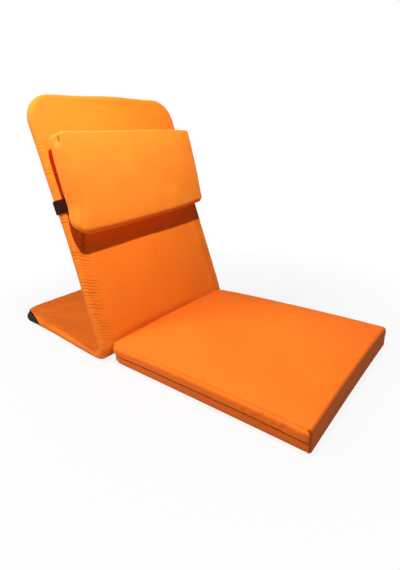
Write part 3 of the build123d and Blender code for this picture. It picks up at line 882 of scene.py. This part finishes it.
# ---------------------------------------------------------------- elastic strap and hinge tape
def band(name, centres, outward, side, half, thick, material):
    """Flat band along the centres, reaching `half` to each side along `side`, with rounded selvedges."""
    section = [(1, 0.5), (0.94, 1), (0.5, 1), (0, 1), (-0.5, 1), (-0.94, 1), (-1, 0.5)]
    section += [(-1, -0.5), (-0.94, -1), (-0.5, -1), (0, -1), (0.5, -1), (0.94, -1), (1, -0.5)]
    rings = [centres + outward * depth * thick / 2 + side * height * half for height, depth in section]
    grid = np.stack(rings, 1)
    count = len(section)
    index = np.arange(len(centres) * count).reshape(len(centres), count)
    turned = np.roll(index, -1, 1)
    quads = np.stack([index[:-1], turned[:-1], turned[1:], index[1:]], -1).reshape(-1, 4)
    piece = new_piece(name, grid.reshape(-1, 3), quads, material)
    caps = bmesh.new()
    caps.from_mesh(piece.data)
    bmesh.ops.holes_fill(caps, edges=[edge for edge in caps.edges if edge.is_boundary])
    bmesh.ops.recalc_face_normals(caps, faces=caps.faces)
    caps.to_mesh(piece.data)
    caps.free()
    piece.data.shade_smooth()
    return piece


def square_to(path):
    """Unit vectors square to a flat path."""
    steps = np.gradient(path, axis=0)
    steps /= np.linalg.norm(steps, axis=1, keepdims=True)
    return np.column_stack([steps[:, 1], -steps[:, 0]])


def rounded_path(corners, radii, pitch):
    """Points along a line through corners, each corner rounded by its own radius."""
    corners = [np.array(corner, float) for corner in corners]
    points = [corners[0]]
    for before, corner, after, radius in zip(corners[:-2], corners[1:-1], corners[2:], radii):
        back = (before - corner) / np.linalg.norm(before - corner)
        on = (after - corner) / np.linalg.norm(after - corner)
        half = np.arccos(np.clip(back @ on, -1, 1)) / 2
        reach = radius / np.tan(half)
        middle = corner + (back + on) / np.linalg.norm(back + on) * radius / np.sin(half)
        first, last = corner + back * reach - middle, corner + on * reach - middle
        for share in np.linspace(0, 1, 7):
            spoke = first * (1 - share) + last * share
            points.append(middle + spoke / np.linalg.norm(spoke) * radius)
    points.append(corners[-1])
    dense = [points[0]]
    for start, stop in zip(points[:-1], points[1:]):
        count = max(1, int(np.ceil(np.linalg.norm(stop - start) / pitch)))
        dense += [start + (stop - start) * share for share in np.linspace(0, 1, count + 1)[1:]]
    return np.array(dense)


# The strap leaves each end of the cushion, runs back to the sleeve's side and straight across behind it.
strap_drop = 0.037  # its middle is this far below the cushion's
strap_s = lumbar_s - strap_drop
strap_t = lumbar_rear - strap_drop * np.sin(tilt) + 0.007
strap_x = back_half + 0.0027
end_x = lumbar_side - 0.0025
half_strap = [
    (end_x, strap_t + 0.009),
    (end_x, strap_t),
    (strap_x, front_t - 0.0044),
    (strap_x, rear_t - 0.0026),
]
strap_path = rounded_path(
    half_strap + [(-x, t) for x, t in reversed(half_strap)],
    radii=(0.003, 0.003, 0.0135, 0.0135, 0.003, 0.003), pitch=0.006,
)
strap_out = square_to(strap_path)
strap_out = strap_out[:, :1] * [1, 0, 0] + strap_out[:, 1:] * back_out
strap_line = on_back(strap_path[:, 0], strap_s + np.tan(roll) * strap_path[:, 0], strap_path[:, 1])
strap = band("lumbar_band", strap_line, strap_out, back_up, half=0.0155, thick=0.0014, material=elastic)
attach(strap, "lumbar")
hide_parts("lumbar_strap")

# Tape sewn to the top of the seat's rear face and to the foot of the back, laid in one fixed bend.
tape_path = rounded_path(
    [(0.0126, 0.028), (0.0126, 0.0436), (0.0163, 0.0465), (0.0187, 0.0438), (0.0189, 0.0375)],
    radii=(0.0015, 0.0015, 0.0015), pitch=0.0011,
)
tape_line = np.column_stack([tape_path[:, 0] * 0, tape_path])
tape_out = square_to(tape_path)
tape_out = np.column_stack([tape_out[:, 0] * 0, tape_out])
tape_side = np.array([1, 0, 0])
tape = band("hinge_band", tape_line, tape_out, tape_side, half=0.210, thick=0.0008, material=tape_cloth)
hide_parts("seat_hinge_tape")
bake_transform(tape)


# ---------------------------------------------------------------- floor
def floor_material(name):
    """Pale floor that keeps its shadows near the object and fades to plain white further out."""
    nodes = Nodes(name)
    nodes.surface(
        Base_Color=nodes.mix(nodes.noise(nodes.spot, 3), (0.50, 0.50, 0.50), (0.54, 0.54, 0.54)),
        Roughness=0.9,
        Specular_IOR_Level=0.1,
    )
    from_middle = nodes.add("VectorMath")
    from_middle.operation = "LENGTH"
    nodes.set(from_middle.inputs[0], nodes.spot)
    far = nodes.ramp(from_middle.outputs["Value"], 0.35, 0.95)
    white = nodes.math("MULTIPLY_ADD", far, 0.14, 0.86)
    mixed = nodes.add("MixShader")
    nodes.set(mixed.inputs[0], nodes.math("MULTIPLY", white, seen_as_background(nodes.tree)))
    nodes.set(mixed.inputs[1], nodes.shader.outputs[0])
    nodes.set(mixed.inputs[2], nodes.add("Emission").outputs[0])
    nodes.set(nodes.tree.nodes["Material Output"].inputs["Surface"], mixed.outputs[0])
    return nodes.material


bpy.ops.mesh.primitive_plane_add(size=30, location=(0, 0, -0.0005))
floor = bpy.context.object
floor.name = "floor"
floor.data.materials.append(floor_material("pale_floor"))
